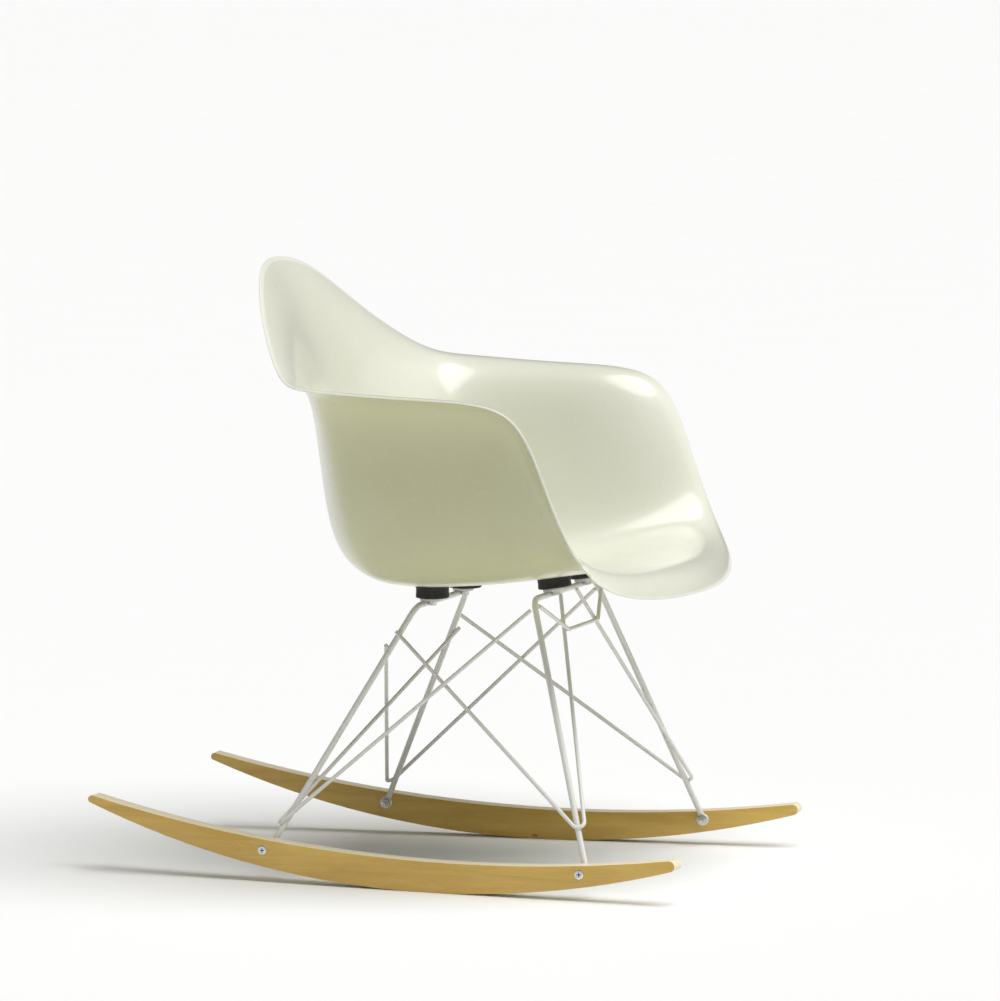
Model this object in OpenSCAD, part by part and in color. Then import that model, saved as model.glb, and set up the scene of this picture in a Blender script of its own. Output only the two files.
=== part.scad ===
// Rocking chair: a moulded armchair shell on rubber mounts, carried by a bent
// wire frame on two wooden rockers. The sitter faces -Y, the sitter's left is +X.
// The origin is on the floor, under the middle of the chair.

/* [Seat shell] */
// Width over the arms
shell_width = 614; // [512:2:738]
// Depth from the front lip to the top of the back
shell_depth = 585; // [490:5:700]
// Height of the lowest point of the seat above the floor
seat_height = 363; // [303:1:436]
// Rise from the seat to the arms
arm_rise = 258; // [210:2:300]
// Rise from the seat to the top of the back
back_rise = 410; // [340:2:470]
// Thickness of the moulding
shell_wall = 3.6; // [2.5:0.1:5]
// How far the edge bead stands out from the wall
edge_bead = 0.8; // [0.4:0.1:1.5]

/* [Rockers] */
// Length from tip to tip
rocker_length = 800; // [670:5:960]
// Thickness of the wood
rocker_thickness = 25; // [20:1:32]
// Height of the wood above the floor at its lowest point
rocker_height = 38.5; // [34:0.5:46]
// Radius of the lower edge
rocker_sole_radius = 1250; // [1100:10:1500]
// Radius of the upper edge
rocker_top_radius = 2130; // [1900:10:2600]
// Gap between the rockers at the rear screws
rear_gauge = 440; // [400:2:480]
// Gap between the rockers at the front screws
front_gauge = 494; // [450:2:540]

/* [Leg frames] */
// Diameter of the leg wire
leg_wire = 7.5; // [6:0.5:10]
// Bend radius of the leg wire
leg_bend = 22; // [16:1:30]
// Half width of the front crossbar between its bends
front_bar_half = 126; // [112:1:140]
// Half width of the rear crossbar between its bends
rear_bar_half = 100; // [94:1:116]
// Thickness of the flattened eyes at the feet
eye_thickness = 4.5; // [3:0.5:6]
// Diameter of the flattened eyes
eye_diameter = 16; // [14:0.5:20]

/* [Braces] */
// Diameter of the brace wire
brace_wire = 5; // [4:0.5:6]
// Bend radius at the foot of a hairpin brace
brace_bend = 8; // [6:0.5:10]
// Drop of the front tie below the front crossbar
tie_drop = 44; // [36:1:60]

/* [Shock mounts] */
// Half the distance between the left and right mounts
mount_half = 64; // [54:1:77]
// Diameter of the rubber body
rubber_diameter = 43; // [38:1:50]
// Diameter of the bonded flange on top
flange_diameter = 50; // [44:1:58]
// Height of the rubber body
rubber_height = 15; // [12:0.5:20]
// Thickness of the bonded flange
flange_height = 3.5; // [2:0.5:5]
// Depth of the flange in the bonding resin
bond_depth = 1; // [0.6:0.1:1.5]
// Thickness of the welded plate under each mount
plate_thickness = 4; // [2:0.5:5]

/* [Fasteners] */
// Thread size of every screw
screw_diameter = 6; // [5:0.2:8]
// Clearance of a screw in its hole
screw_clearance = 0.5; // [0.3:0.1:1]

/* [Hidden] */
$fn = 64;

// ---- fastener sizes from the thread ----
head_diameter = 2 * screw_diameter;
head_height = 0.55 * screw_diameter;
hole_diameter = screw_diameter + screw_clearance;
washer_thickness = 1.6;
washer_diameter = 2.1 * screw_diameter;
nut_height = 0.8 * screw_diameter;
nut_across_flats = 1.65 * screw_diameter;
thread_tail = 3;           // thread showing past the nut
insert_diameter = 12;
insert_height = 11;
mount_head_height = 4;

// ---- places along the chair ----
sole_y = -67;              // lowest line of the rockers
rocker_tip_rear = rocker_length / 2;
rocker_tip_front = -rocker_length / 2;
rear_screw = [rear_gauge / 2, 157, 41];
front_screw = [front_gauge / 2, -273, 34];
splay = atan((front_screw.x - rear_screw.x) / (rear_screw.y - front_screw.y));
front_bar_y = -159.5;
rear_bar_y = 2.5;
washer_tuck = 0.55;        // how far a mount washer reaches in over the round of a crossbar
bar_to_mount = (leg_wire + washer_diameter) / 2 - washer_tuck;
front_mount_y = front_bar_y - bar_to_mount;
rear_mount_y = rear_bar_y - bar_to_mount;

// ---- small vector helpers ----
function unit(v) = v / norm(v);
function flip(p) = [-p.x, p.y, p.z];
function side_of(p, side) = [side * p.x, p.y, p.z];
function between(a, b, t) = a + (b - a) * t;
function point_on(a, b, z) = between(a, b, (z - a.z) / (b.z - a.z));

module along(origin, x_axis, y_axis, z_axis) {
  multmatrix([
    [x_axis.x, y_axis.x, z_axis.x, origin.x],
    [x_axis.y, y_axis.y, z_axis.y, origin.y],
    [x_axis.z, y_axis.z, z_axis.z, origin.z],
    [0, 0, 0, 1]
  ]) children();
}

// A round bar between two points
module bar(a, b, d) {
  z_axis = unit(b - a);
  helper = abs(z_axis.z) < 0.9 ? [0, 0, 1] : [1, 0, 0];
  x_axis = unit(cross(helper, z_axis));
  along(a, x_axis, cross(z_axis, x_axis), z_axis)
    cylinder(d = d, h = norm(b - a));
}

// A wire along corner points, bent to a radius at each inner corner. The straight
// runs reach a little way into the bends, which are a hair thicker.
bend_swell = 0.05;
bend_bite = 0.3;
function turn(p, i) = acos(min(1, unit(p[i] - p[i - 1]) * unit(p[i + 1] - p[i])));
function setback(p, i, r) =
  (i == 0 || i == len(p) - 1) ? 0 : r * tan(turn(p, i) / 2) - bend_bite;

module bent_wire(p, r, d) {
  for (i = [0 : len(p) - 2]) {
    dir = unit(p[i + 1] - p[i]);
    bar(p[i] + dir * setback(p, i, r), p[i + 1] - dir * setback(p, i + 1, r), d);
  }
  for (i = [1 : len(p) - 2]) {
    d_in = unit(p[i] - p[i - 1]);
    d_out = unit(p[i + 1] - p[i]);
    start = p[i] - d_in * r * tan(turn(p, i) / 2);
    centre = p[i] + unit(d_out - d_in) * r / cos(turn(p, i) / 2);
    x_axis = unit(start - centre);
    along(centre, x_axis, d_in, cross(x_axis, d_in))
      rotate_extrude(angle = turn(p, i)) translate([r, 0]) circle(d = d + bend_swell);
  }
}

// ---- seat shell: a smooth surface over five guide lines ----
// Each guide line holds half of a loop round the shell, from the middle of the
// front to the middle of the back, as [x, y, rise above the seat] in the
// proportions of a shell 614 wide and 585 deep with arms at 258 and back at 410.
base_width = 614;
base_depth = 585;
base_arm = 258;
base_back = 410;
shell_mid_y = -59;

edge_line = [
  [0, -351.5, 3], [125, -339, 4], [238, -311, 18], [285, -277, 55],
  [300, -241, 135], [304, -205, 224], [305, -150, 253], [306, -50, 258],
  [308, 50, 264], [301, 93, 268], [262, 130, 283], [178, 181, 339], [92, 217, 396], [0, 232, 410]
];
brow_line = [
  [0, -346, 33], [120, -334, 34], [232, -304, 50], [275, -264, 84],
  [276, -222, 158], [262, -182, 238], [256, -130, 264], [252, -45, 270],
  [248, 48, 276], [232, 86, 280], [190, 112, 288], [120, 142, 304], [62, 168, 336], [0, 178, 348]
];
wall_line = [
  [0, -292, 37], [104, -282, 38], [200, -252, 42], [238, -212, 60],
  [240, -174, 90], [238, -138, 112], [236, -95, 120], [234, -38, 122],
  [222, 36, 124], [198, 74, 127], [154, 104, 131], [100, 130, 136], [52, 146, 140], [0, 153, 142]
];
foot_line = [
  [0, -222, 30], [74, -215, 28], [140, -190, 22], [180, -158, 17],
  [197, -124, 13], [202, -92, 11], [205, -60, 9], [205, -22, 8],
  [190, 32, 9], [166, 62, 11], [128, 92, 15], [84, 117, 18], [44, 132, 19], [0, 138, 20]
];
pan_line = [
  [0, -140, 18], [46, -136, 17], [84, -120, 14], [106, -98, 11],
  [116, -76, 8], [120, -58, 6], [122, -40, 4], [120, -16, 2.5],
  [108, 14, 1.5], [96, 30, 1.5], [76, 44, 1.5], [51, 56, 2], [26, 62, 2.5], [0, 64, 2.5]
];
pan_centre = [0, -38, 4];

function shell_rise(z) = z <= base_arm
  ? z * arm_rise / base_arm
  : arm_rise + (z - base_arm) * (back_rise - arm_rise) / (base_back - base_arm);
function shell_place(p) = [
  p.x * shell_width / base_width,
  shell_mid_y + (p.y - shell_mid_y) * shell_depth / base_depth,
  seat_height + shell_rise(p.z)
];

// The whole loop of a guide line, mirrored to the right side
function loop_of(line) = concat(
  [for (p = line) shell_place(p)],
  [for (i = [len(line) - 2 : -1 : 1]) flip(shell_place(line[i]))]
);
// Control points that bring the smooth loop back onto the guide points
function pulled(loop) = let (n = len(loop)) [
  for (i = [0 : n - 1])
    loop[i] - (loop[(i + n - 1) % n] - 2 * loop[i] + loop[(i + 1) % n]) / 6
];
// A closed cubic spline through a loop of control points
function loop_point(loop, s) = let (n = len(loop), i = floor(s), t = s - i, u = 1 - t)
  (loop[(i + n - 1) % n] * u * u * u
   + loop[i % n] * (3 * t * t * t - 6 * t * t + 4)
   + loop[(i + 1) % n] * (3 * u * u * u - 6 * u * u + 4)
   + loop[(i + 2) % n] * t * t * t) / 6;
// Weights of a clamped cubic spline, by the usual recursion
knots = [0, 0, 0, 0, 1, 2, 3, 3, 3, 3];
function share(a, b) = b == 0 ? 0 : a / b;
function weight(i, k, t) = k == 0
  ? ((t >= knots[i] && (t < knots[i + 1] || (t >= 3 && knots[i + 1] == 3 && knots[i] < 3)))
     ? 1 : 0)
  : share(t - knots[i], knots[i + k] - knots[i]) * weight(i, k - 1, t)
    + share(knots[i + k + 1] - t, knots[i + k + 1] - knots[i + 1]) * weight(i + 1, k - 1, t);

shell_rows = 21;
shell_steps = 4;
shell_guides = [for (line = [pan_line, foot_line, wall_line, brow_line, edge_line])
  pulled(loop_of(line))];
shell_columns = len(shell_guides[0]) * shell_steps;
row_weights = [for (j = [1 : shell_rows]) [for (i = [0 : 5]) weight(i, 3, 3 * j / shell_rows)]];
// Outer surface: one row of points per step from the seat centre to the edge
guide_points = [for (g = shell_guides)
  [for (c = [0 : shell_columns - 1]) loop_point(g, c / shell_steps)]];
shell_outer = [for (w = row_weights) [for (c = [0 : shell_columns - 1])
  shell_place(pan_centre) * w[0] + guide_points[0][c] * w[1] + guide_points[1][c] * w[2]
  + guide_points[2][c] * w[3] + guide_points[3][c] * w[4] + guide_points[4][c] * w[5]]];

function grid_point(j, c) = j < 0
  ? shell_place(pan_centre)
  : shell_outer[min(j, shell_rows - 1)][(c + shell_columns) % shell_columns];
function inward(j, c) = unit(cross(
  grid_point(j, c + 1) - grid_point(j, c - 1),
  grid_point(j - 1, c) - grid_point(min(j + 1, shell_rows - 1), c)));
function outward_edge(c) =
  unit(grid_point(shell_rows - 1, c) - grid_point(shell_rows - 2, c));
function shell_level(j, c, depth) = grid_point(j, c) + inward(j, c) * depth;

shell_skin = concat(
  [for (j = [0 : shell_rows - 1]) [for (c = [0 : shell_columns - 1]) shell_level(j, c, 0)]],
  [[for (c = [0 : shell_columns - 1])
    shell_level(shell_rows - 1, c, shell_wall / 2) + outward_edge(c) * (shell_wall / 2 + edge_bead)]],
  [for (j = [shell_rows - 1 : -1 : 0]) [for (c = [0 : shell_columns - 1])
    shell_level(j, c, shell_wall)]]
);
skin_rows = len(shell_skin);
skin_points = concat(
  [shell_place(pan_centre)],
  [for (row = shell_skin) each row],
  [shell_place(pan_centre) + [0, 0, shell_wall]]
);
function skin_index(k, c) = 1 + k * shell_columns + (c + shell_columns) % shell_columns;
skin_faces = concat(
  [for (c = [0 : shell_columns - 1]) [0, skin_index(0, c), skin_index(0, c + 1)]],
  [for (k = [0 : skin_rows - 2]) for (c = [0 : shell_columns - 1]) each [
    [skin_index(k, c), skin_index(k + 1, c), skin_index(k + 1, c + 1)],
    [skin_index(k, c), skin_index(k + 1, c + 1), skin_index(k, c + 1)]]],
  [for (c = [0 : shell_columns - 1]) [
    skin_index(skin_rows - 1, c), len(skin_points) - 1, skin_index(skin_rows - 1, c + 1)]]
);

// Height of the shell's underside over a place, from the surface points near it
function flat_gap(p, x, y) = pow(p.x - x, 2) + pow(p.y - y, 2);
function underside(x, y) = let (
    near = [for (row = shell_outer) for (p = row)
      if (p.z < seat_height + arm_rise / 3 && flat_gap(p, x, y) < 900) p],
    w = [for (p = near) 1 / pow(flat_gap(p, x, y) + 1, 2)],
    total = w * [for (v = w) 1]
  ) (w * [for (p = near) p.z]) / total;

module seat_shell() {
  color([0.90, 0.91, 0.83]) polyhedron(points = skin_points, faces = skin_faces);
}

// ---- shock mounts, with their plates and screws ----
// Slope of the underside at a mount, front edge up
function mount_tilt(y) =
  atan((underside(mount_half, y - 18) - underside(mount_half, y + 18)) / 36);
function mount_top(y) = underside(mount_half, y) + bond_depth;
mount_stack = flange_height + rubber_height + plate_thickness;
// Middle of a crossbar, touching the underside of its plates
function bar_place(y) = let (tilt = mount_tilt(y), drop = mount_stack + leg_wire / 2)
  [0, y + bar_to_mount * cos(tilt) - drop * sin(tilt),
   mount_top(y) - bar_to_mount * sin(tilt) - drop * cos(tilt)];
front_bar = bar_place(front_mount_y);
rear_bar = bar_place(rear_mount_y);

module at_mount(side, y) {
  translate([side * mount_half, y, mount_top(y)]) rotate([-mount_tilt(y), 0, 0]) children();
}

module shock_mount(side, y) {
  color([0.08, 0.07, 0.06]) at_mount(side, y) difference() {
    union() {
      translate([0, 0, -flange_height]) cylinder(d = flange_diameter, h = flange_height);
      translate([0, 0, -flange_height - rubber_height])
        cylinder(d = rubber_diameter, h = rubber_height);
    }
    translate([0, 0, -flange_height - rubber_height - 1])
      cylinder(d = insert_diameter, h = insert_height + 1);
  }
}

module mount_insert() {
  translate([0, 0, -flange_height - rubber_height]) difference() {
    cylinder(d = insert_diameter, h = insert_height);
    translate([0, 0, -1]) cylinder(d = screw_diameter, h = insert_height);
  }
}

module mount_plate(side, y) {
  plate_width = 22;
  plate_rear = bar_to_mount + leg_wire / 2;
  color([0.80, 0.80, 0.76]) at_mount(side, y)
    translate([0, 0, -mount_stack]) difference() {
      union() {
        translate([-plate_width / 2, 0, 0])
          cube([plate_width, plate_rear, plate_thickness]);
        cylinder(d = plate_width, h = plate_thickness);
      }
      translate([0, 0, -1]) cylinder(d = hole_diameter, h = plate_thickness + 2);
    }
}

module mount_screw() {
  under_washer = -mount_stack - washer_thickness;
  translate([0, 0, under_washer - mount_head_height]) difference() {
    cylinder(d = head_diameter * 0.92, h = mount_head_height, $fn = 6);
    translate([0, 0, -0.5]) cylinder(d = screw_diameter, h = 1);
  }
  translate([0, 0, under_washer])
    cylinder(d = screw_diameter, h = washer_thickness + plate_thickness + insert_height - 3);
}

module mount_washer() {
  translate([0, 0, -mount_stack - washer_thickness]) difference() {
    cylinder(d = washer_diameter, h = washer_thickness);
    translate([0, 0, -1]) cylinder(d = hole_diameter, h = washer_thickness + 2);
  }
}

module at_each_mount() {
  for (side = [-1, 1]) for (y = [front_mount_y, rear_mount_y]) at_mount(side, y) children();
}

module mount_inserts() {
  color([0.70, 0.68, 0.55]) at_each_mount() mount_insert();
}

module mount_screws() {
  color([0.75, 0.75, 0.74]) at_each_mount() mount_screw();
}

module mount_washers() {
  color([0.75, 0.75, 0.74]) at_each_mount() mount_washer();
}

// ---- rockers ----
// Frame of a rocker: x across the wood from its inner face, y along it
module at_rocker(side) {
  translate([side * rear_screw.x, rear_screw.y, 0])
    rotate([0, 0, side * splay]) scale([side, 1, 1]) children();
}

function sole_z(y) = rocker_sole_radius - sqrt(pow(rocker_sole_radius, 2) - pow(y - sole_y, 2));
top_mid_y = sole_y - 41;
function top_z(y) = rocker_height + rocker_top_radius
  - sqrt(pow(rocker_top_radius, 2) - pow(y - top_mid_y, 2));

module rocker_tip(y) {
  translate([y, (sole_z(y) + top_z(y)) / 2]) circle(d = top_z(y) - sole_z(y) - 0.5);
}

// Side view of a rocker, x is the chair's y
module rocker_profile() {
  rear_tip = rocker_tip_rear - 5;
  front_tip = rocker_tip_front + 6;
  intersection() {
    difference() {
      translate([sole_y, rocker_sole_radius]) circle(r = rocker_sole_radius, $fn = 720);
      translate([top_mid_y, rocker_height + rocker_top_radius]) circle(r = rocker_top_radius, $fn = 720);
    }
    translate([front_tip, -1]) square([rear_tip - front_tip, 400]);
  }
  rocker_tip(rear_tip);
  rocker_tip(front_tip);
}

// Screw axes in the rocker's frame
screw_spacing = norm([front_screw.x - rear_screw.x, front_screw.y - rear_screw.y]);
screw_seats = [[0, 0, rear_screw.z], [0, -screw_spacing, front_screw.z]];

module at_rocker_screws(side) {
  at_rocker(side) for (seat = screw_seats)
    translate(seat) rotate([0, 90, 0]) children();
}

// Room for a screw, with its countersink at the outer face
module screw_room() {
  rotate_extrude() polygon([
    [0, -1], [hole_diameter / 2, -1], [hole_diameter / 2, rocker_thickness - head_height],
    [(head_diameter + screw_clearance) / 2, rocker_thickness],
    [(head_diameter + screw_clearance) / 2, rocker_thickness + 1], [0, rocker_thickness + 1]
  ]);
}

module rocker(side) {
  color([0.79, 0.63, 0.38]) difference() {
    at_rocker(side) translate([0, -rear_screw.y, 0]) rotate([90, 0, 90])
      linear_extrude(rocker_thickness) rocker_profile();
    at_rocker_screws(side) screw_room();
  }
}

module rocker_screw() {
  shank = rocker_thickness + eye_thickness + washer_thickness + nut_height + thread_tail;
  translate([0, 0, rocker_thickness - shank]) cylinder(d = screw_diameter, h = shank - 0.5);
  translate([0, 0, rocker_thickness - head_height]) difference() {
    cylinder(d1 = screw_diameter, d2 = head_diameter, h = head_height);
    for (turn = [0, 90]) rotate([0, 0, turn])
      translate([-3, -0.6, head_height - 1.6]) cube([6, 1.2, 2]);
  }
}

module rocker_washer() {
  translate([0, 0, -eye_thickness - washer_thickness]) difference() {
    cylinder(d = washer_diameter, h = washer_thickness);
    translate([0, 0, -1]) cylinder(d = hole_diameter, h = washer_thickness + 2);
  }
}

module rocker_nut() {
  translate([0, 0, -eye_thickness - washer_thickness - nut_height]) difference() {
    cylinder(d = nut_across_flats / cos(30), h = nut_height, $fn = 6);
    translate([0, 0, -1]) cylinder(d = screw_diameter, h = nut_height + 2);
  }
}

module rocker_screws() {
  color([0.78, 0.78, 0.77]) for (side = [-1, 1]) at_rocker_screws(side) rocker_screw();
}

module rocker_washers() {
  color([0.78, 0.78, 0.77]) for (side = [-1, 1]) at_rocker_screws(side) rocker_washer();
}

module rocker_nuts() {
  color([0.82, 0.82, 0.80]) for (side = [-1, 1]) at_rocker_screws(side) rocker_nut();
}

// ---- leg frames ----
// Foot of a leg: the wire ends on a flat neck beside the eye, on the rocker's inner
// face. The neck leans the way the leg leans.
face_in = [-cos(splay), -sin(splay), 0];
neck_width = leg_wire + 2;
neck_height = eye_diameter;
neck_lap = 5;
neck_step = 0.2;           // the neck is a little thinner than the eye
front_shoulder = [front_bar_half, front_bar.y, front_bar.z];
rear_shoulder = [rear_bar_half, rear_bar.y, rear_bar.z];
function lean(shoulder, screw) = atan((screw.y - shoulder.y) / (shoulder.z - screw.z));
function foot(shoulder, screw) = screw + face_in * (leg_wire / 2 + 0.1)
  + [0, -sin(lean(shoulder, screw)), cos(lean(shoulder, screw))] * (neck_height - neck_lap);
front_foot = foot(front_shoulder, front_screw);
rear_foot = foot(rear_shoulder, rear_screw);

// An eye with its neck, in the rocker's frame at a screw
module eye(angle) {
  translate([-eye_thickness, 0, 0]) rotate([0, 90, 0])
    cylinder(d = eye_diameter, h = eye_thickness);
  rotate([angle, 0, 0]) translate([-eye_thickness + neck_step, -neck_width / 2, screw_diameter])
    cube([eye_thickness - 2 * neck_step, neck_width, neck_height - screw_diameter]);
}

module leg_frame(shoulder, foot_end, screw, screw_seat) {
  color([0.80, 0.80, 0.76]) difference() {
    union() {
      bent_wire([flip(foot_end), flip(shoulder), shoulder, foot_end], leg_bend, leg_wire);
      for (side = [-1, 1]) at_rocker(side) translate(screw_seat) eye(lean(shoulder, screw));
    }
    for (side = [-1, 1]) at_rocker(side) translate(screw_seat)
      translate([-eye_thickness - 1, 0, 0]) rotate([0, 90, 0])
        cylinder(d = hole_diameter, h = eye_thickness + 2);
  }
}

module front_leg_frame() {
  leg_frame(front_shoulder, front_foot, front_screw, screw_seats[1]);
}

module rear_leg_frame() {
  leg_frame(rear_shoulder, rear_foot, rear_screw, screw_seats[0]);
}

// ---- braces ----
// Distance between the middles of a leg wire and a brace wire welded to it
weld_reach = (leg_wire + brace_wire) / 2 - 0.06;
end_overshoot = 6;
front_leg_dir = unit(front_foot - front_shoulder);
rear_leg_dir = unit(rear_foot - rear_shoulder);
// A point beside a leg at a given height, off it in a chosen direction
function square_to(v, axis) = unit(v - axis * (v * axis));
function beside(shoulder, foot_end, z, v) =
  point_on(shoulder, foot_end, z) + square_to(v, unit(foot_end - shoulder)) * weld_reach;
function overshoot(a, b) = b + unit(b - a) * end_overshoot;
// Where a brace that runs to a far end passes the outer side of a leg
function touch_side(on_leg, leg_dir, far_end) = unit(cross(leg_dir, far_end - on_leg));
function outside(on_leg, leg_dir, far_end) = let (
    first = on_leg + touch_side(on_leg, leg_dir, far_end) * weld_reach,
    n = unit(cross(leg_dir, far_end - first))
  ) on_leg + n * weld_reach * (n.x > 0 ? 1 : -1);
// The corner of a hairpin lies past the place where its first side touches the leg
function pin_corner(on_leg, leg_dir, far_end, past) = let (
    at = outside(on_leg, leg_dir, far_end)
  ) at - unit(far_end - at) * past;

module hairpin(side, end_a, corner, end_b) {
  color([0.80, 0.80, 0.76]) bent_wire(
    [side_of(end_a, side), side_of(corner, side), side_of(end_b, side)],
    brace_bend, brace_wire);
}

// Front hairpin: from the front foot up to the rear shoulder and to the crossbar
front_pin_rear = beside(rear_shoulder, rear_foot, rear_bar.z - 36, [1, -0.3, 0]);
front_pin_corner = pin_corner(
  point_on(front_shoulder, front_foot, front_screw.z + 50), front_leg_dir, front_pin_rear, 21);
inner_pin_x = 33;
front_pin_top = [inner_pin_x, front_bar.y - weld_reach * 0.86, front_bar.z - weld_reach * 0.5];

module front_hairpin(side) {
  hairpin(side, overshoot(front_pin_corner, front_pin_rear), front_pin_corner, front_pin_top);
}

// Rear hairpin: from the rear foot to the front shoulder and across to the other
// rear leg. The left one ends behind the leg and the right one in front of it, so
// that the two cross without meeting.
rear_pin_front = beside(front_shoulder, front_foot, front_bar.z - 12, [0.3, 1, 0]);
rear_pin_corner = pin_corner(
  point_on(rear_shoulder, rear_foot, rear_screw.z + 31), rear_leg_dir, rear_pin_front, 17);
cross_drop = 54;
function cross_end(side) = flip(beside(rear_shoulder, rear_foot,
  rear_bar.z - cross_drop, [0, side, 0]));

module rear_hairpin(side) {
  hairpin(side, overshoot(rear_pin_corner, cross_end(side)), rear_pin_corner, rear_pin_front);
}

// Front tie: dips between the front legs and rests on the front hairpins
tie_corner_z = front_bar.z - tie_drop;
tie_corner_x = point_on(front_pin_top, front_pin_corner, tie_corner_z).x - 3;
tie_y = point_on(front_pin_top, front_pin_corner, tie_corner_z).y - brace_wire * 1.04;
tie_end = beside(front_shoulder, front_foot, front_bar.z - 9, [-0.5, -1, 0]);

module front_tie() {
  corner = [tie_corner_x, tie_y, tie_corner_z];
  color([0.80, 0.80, 0.76])
    bent_wire([flip(tie_end), flip(corner), corner, tie_end], brace_bend, brace_wire);
}

seat_shell();
shock_mount(1, front_mount_y);  // shock_mount_front_left
shock_mount(-1, front_mount_y);  // shock_mount_front_right
shock_mount(1, rear_mount_y);  // shock_mount_rear_left
shock_mount(-1, rear_mount_y);  // shock_mount_rear_right
mount_inserts();
mount_plate(1, front_mount_y);  // mount_plate_front_left
mount_plate(-1, front_mount_y);  // mount_plate_front_right
mount_plate(1, rear_mount_y);  // mount_plate_rear_left
mount_plate(-1, rear_mount_y);  // mount_plate_rear_right
mount_screws();
mount_washers();
front_leg_frame();
rear_leg_frame();
front_hairpin(1);  // front_hairpin_left
front_hairpin(-1);  // front_hairpin_right
rear_hairpin(1);  // rear_hairpin_left
rear_hairpin(-1);  // rear_hairpin_right
front_tie();
rocker(1);  // rocker_left
rocker(-1);  // rocker_right
rocker_screws();
rocker_washers();
rocker_nuts();
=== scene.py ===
"""Rocking chair: a moulded armchair shell on rubber mounts, a welded wire base and two wooden rockers.

Everything is in metres. The sitter faces -Y and the sitter's left is +X. The pieces are placed from the
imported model's own nodes.
"""

import logging
import math
from collections.abc import Callable
from dataclasses import dataclass, field
from enum import Enum

import bmesh
import bpy
from mathutils import Matrix, Vector
from mathutils.bvhtree import BVHTree


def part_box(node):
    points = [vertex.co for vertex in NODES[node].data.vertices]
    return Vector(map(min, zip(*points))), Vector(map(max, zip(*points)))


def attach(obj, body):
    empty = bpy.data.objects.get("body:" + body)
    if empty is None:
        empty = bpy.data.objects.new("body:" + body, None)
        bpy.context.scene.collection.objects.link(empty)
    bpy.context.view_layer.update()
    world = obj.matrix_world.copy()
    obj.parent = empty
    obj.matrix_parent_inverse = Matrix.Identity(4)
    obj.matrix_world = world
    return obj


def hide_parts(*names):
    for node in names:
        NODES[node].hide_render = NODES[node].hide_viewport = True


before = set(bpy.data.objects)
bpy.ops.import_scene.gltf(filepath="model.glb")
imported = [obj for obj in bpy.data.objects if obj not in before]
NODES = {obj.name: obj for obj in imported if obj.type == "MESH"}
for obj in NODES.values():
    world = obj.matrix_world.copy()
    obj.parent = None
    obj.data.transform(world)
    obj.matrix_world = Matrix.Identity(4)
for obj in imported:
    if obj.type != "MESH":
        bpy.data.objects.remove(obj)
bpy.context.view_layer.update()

BODY = "chair"
MM = 0.001
log = logging.getLogger("rocking_chair")

Profile = list[tuple[float, float]]


class Side(Enum):
    """Left and right as the sitter has them."""

    LEFT = 1
    RIGHT = -1

    @property
    def word(self) -> str:
        """The side's name as the nodes spell it."""
        return self.name.lower()


class Grain(Enum):
    """Which way the fibres of a wooden piece lie, in degrees from the Y axis."""

    LEFT_ROCKER = 3.56
    RIGHT_ROCKER = -3.56


# ---- handwork: small steps in edit mode ----
def clear_selection() -> None:
    """Leave nothing selected, so that the next operator acts on its own piece only."""
    bpy.ops.object.select_all(action="DESELECT")


def open_for_editing(piece: bpy.types.Object) -> None:
    """Select one piece alone and enter edit mode with all of it selected.

    Args:
        piece: The mesh object to work on.
    """
    clear_selection()
    piece.select_set(True)
    bpy.context.view_layer.objects.active = piece
    bpy.ops.object.mode_set(mode="EDIT")
    bpy.ops.mesh.select_all(action="SELECT")


def leave_editing() -> None:
    """Go back to object mode."""
    bpy.ops.object.mode_set(mode="OBJECT")


def start_ring(name: str, centre: Vector, direction: Vector, radius: float, sides: int) -> bpy.types.Object:
    """Start a piece as one ring of points, open for editing.

    Args:
        name: Name of the new piece.
        centre: Middle of the ring.
        direction: The way the ring faces.
        radius: Radius of the ring.
        sides: Number of points.

    Returns:
        The new object, in edit mode, with the ring selected.
    """
    clear_selection()
    turn = Vector(direction).to_track_quat("Z", "Y").to_euler()
    bpy.ops.mesh.primitive_circle_add(vertices=sides, radius=radius, location=centre, rotation=turn)
    piece = bpy.context.object
    piece.name = name
    bpy.ops.object.transform_apply(location=True, rotation=True, scale=True)
    bpy.ops.object.mode_set(mode="EDIT")
    bpy.ops.mesh.select_all(action="SELECT")
    return piece


def pull(step: Vector) -> None:
    """Extrude the selected ring along a vector.

    Args:
        step: How far and which way.
    """
    bpy.ops.mesh.extrude_region_move(TRANSFORM_OT_translate={"value": tuple(step)})


def swell(size: tuple[float, float, float], centre: Vector) -> None:
    """Resize the selected ring about a point.

    Args:
        size: Scale along X, Y and Z.
        centre: The point that stays.
    """
    bpy.ops.transform.resize(value=size, center_override=tuple(centre))


def bend_round(centre: Vector, axis: Vector, angle: float, steps: int) -> None:
    """Sweep the selected ring round an axis, right-handed.

    Args:
        centre: A point on the axis.
        axis: Direction of the axis.
        angle: Sweep in radians.
        steps: Number of rings laid down.
    """
    bpy.ops.mesh.spin(steps=steps, angle=angle, center=tuple(centre), axis=tuple(-axis))


def cap_ring() -> None:
    """Close the selected ring with a face."""
    bpy.ops.mesh.edge_face_add()


def tidy_skin(piece: bpy.types.Object, merge: float = 0.01 * MM) -> None:
    """Merge doubled points and turn every face outwards.

    Args:
        piece: The mesh object, in object mode.
        merge: Distance below which points become one.
    """
    open_for_editing(piece)
    bpy.ops.mesh.remove_doubles(threshold=merge)
    bpy.ops.mesh.normals_make_consistent(inside=False)
    leave_editing()


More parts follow.
